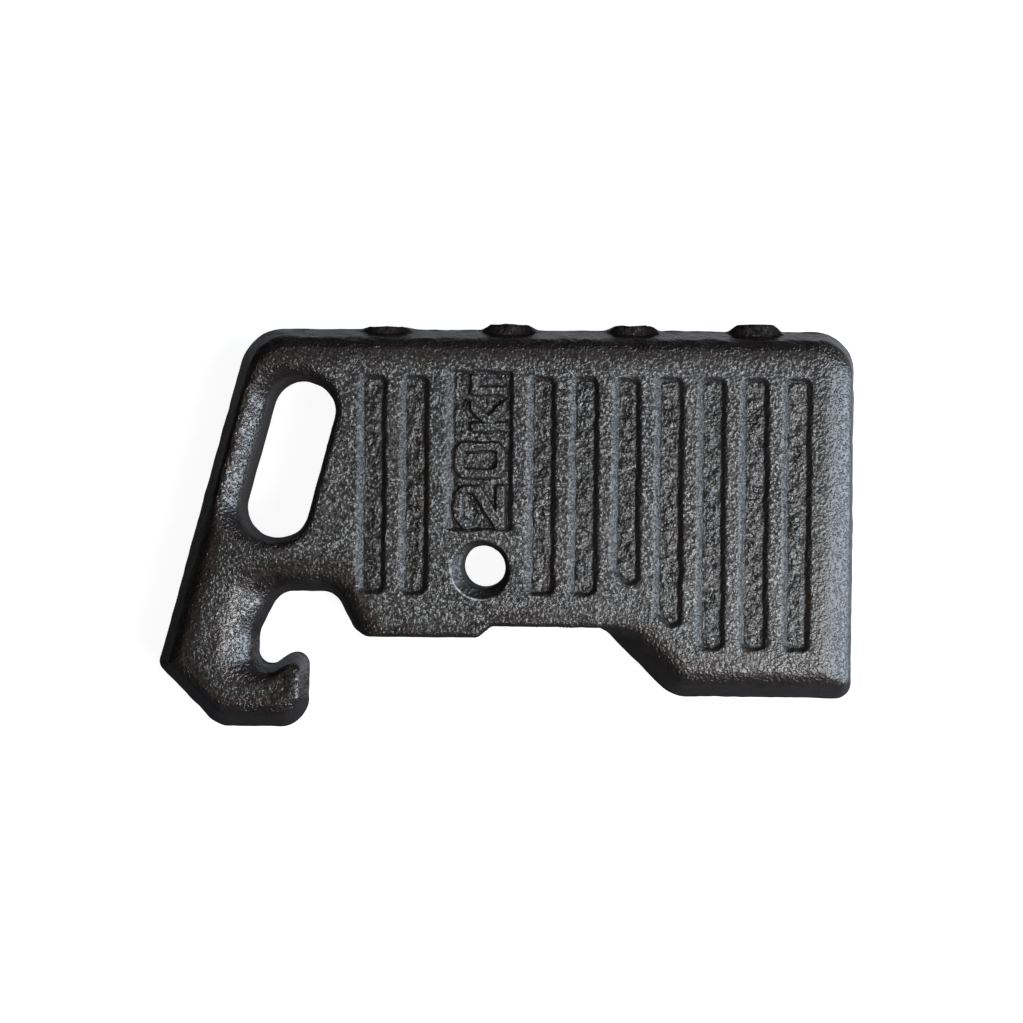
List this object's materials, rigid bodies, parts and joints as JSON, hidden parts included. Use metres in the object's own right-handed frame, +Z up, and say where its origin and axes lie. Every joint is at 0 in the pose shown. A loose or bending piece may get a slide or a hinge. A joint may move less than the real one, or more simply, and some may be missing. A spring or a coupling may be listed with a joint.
{
  "type": "front ballast weight",
  "caption": "Cast-iron tractor front weight: a thick ribbed plate with a hanging hook, a slanted hand slot with a round grip, a stepped rest face and a flared tie-rod bore.",
  "frame": {"origin": "axis of the tie-rod bore at mid-thickness", "axes": "+X along the length away from the hook, +Y through the thickness away from the ribbed face, +Z up as the weight hangs"},
  "size_m": [0.4007, 0.046, 0.2342],
  "materials": {
    "painted_casting": "rough sand-cast surface under satin black paint"
  },
  "bodies": {
    "root": {"weight_casting": "painted_casting"}
  },
  "joints": []
}
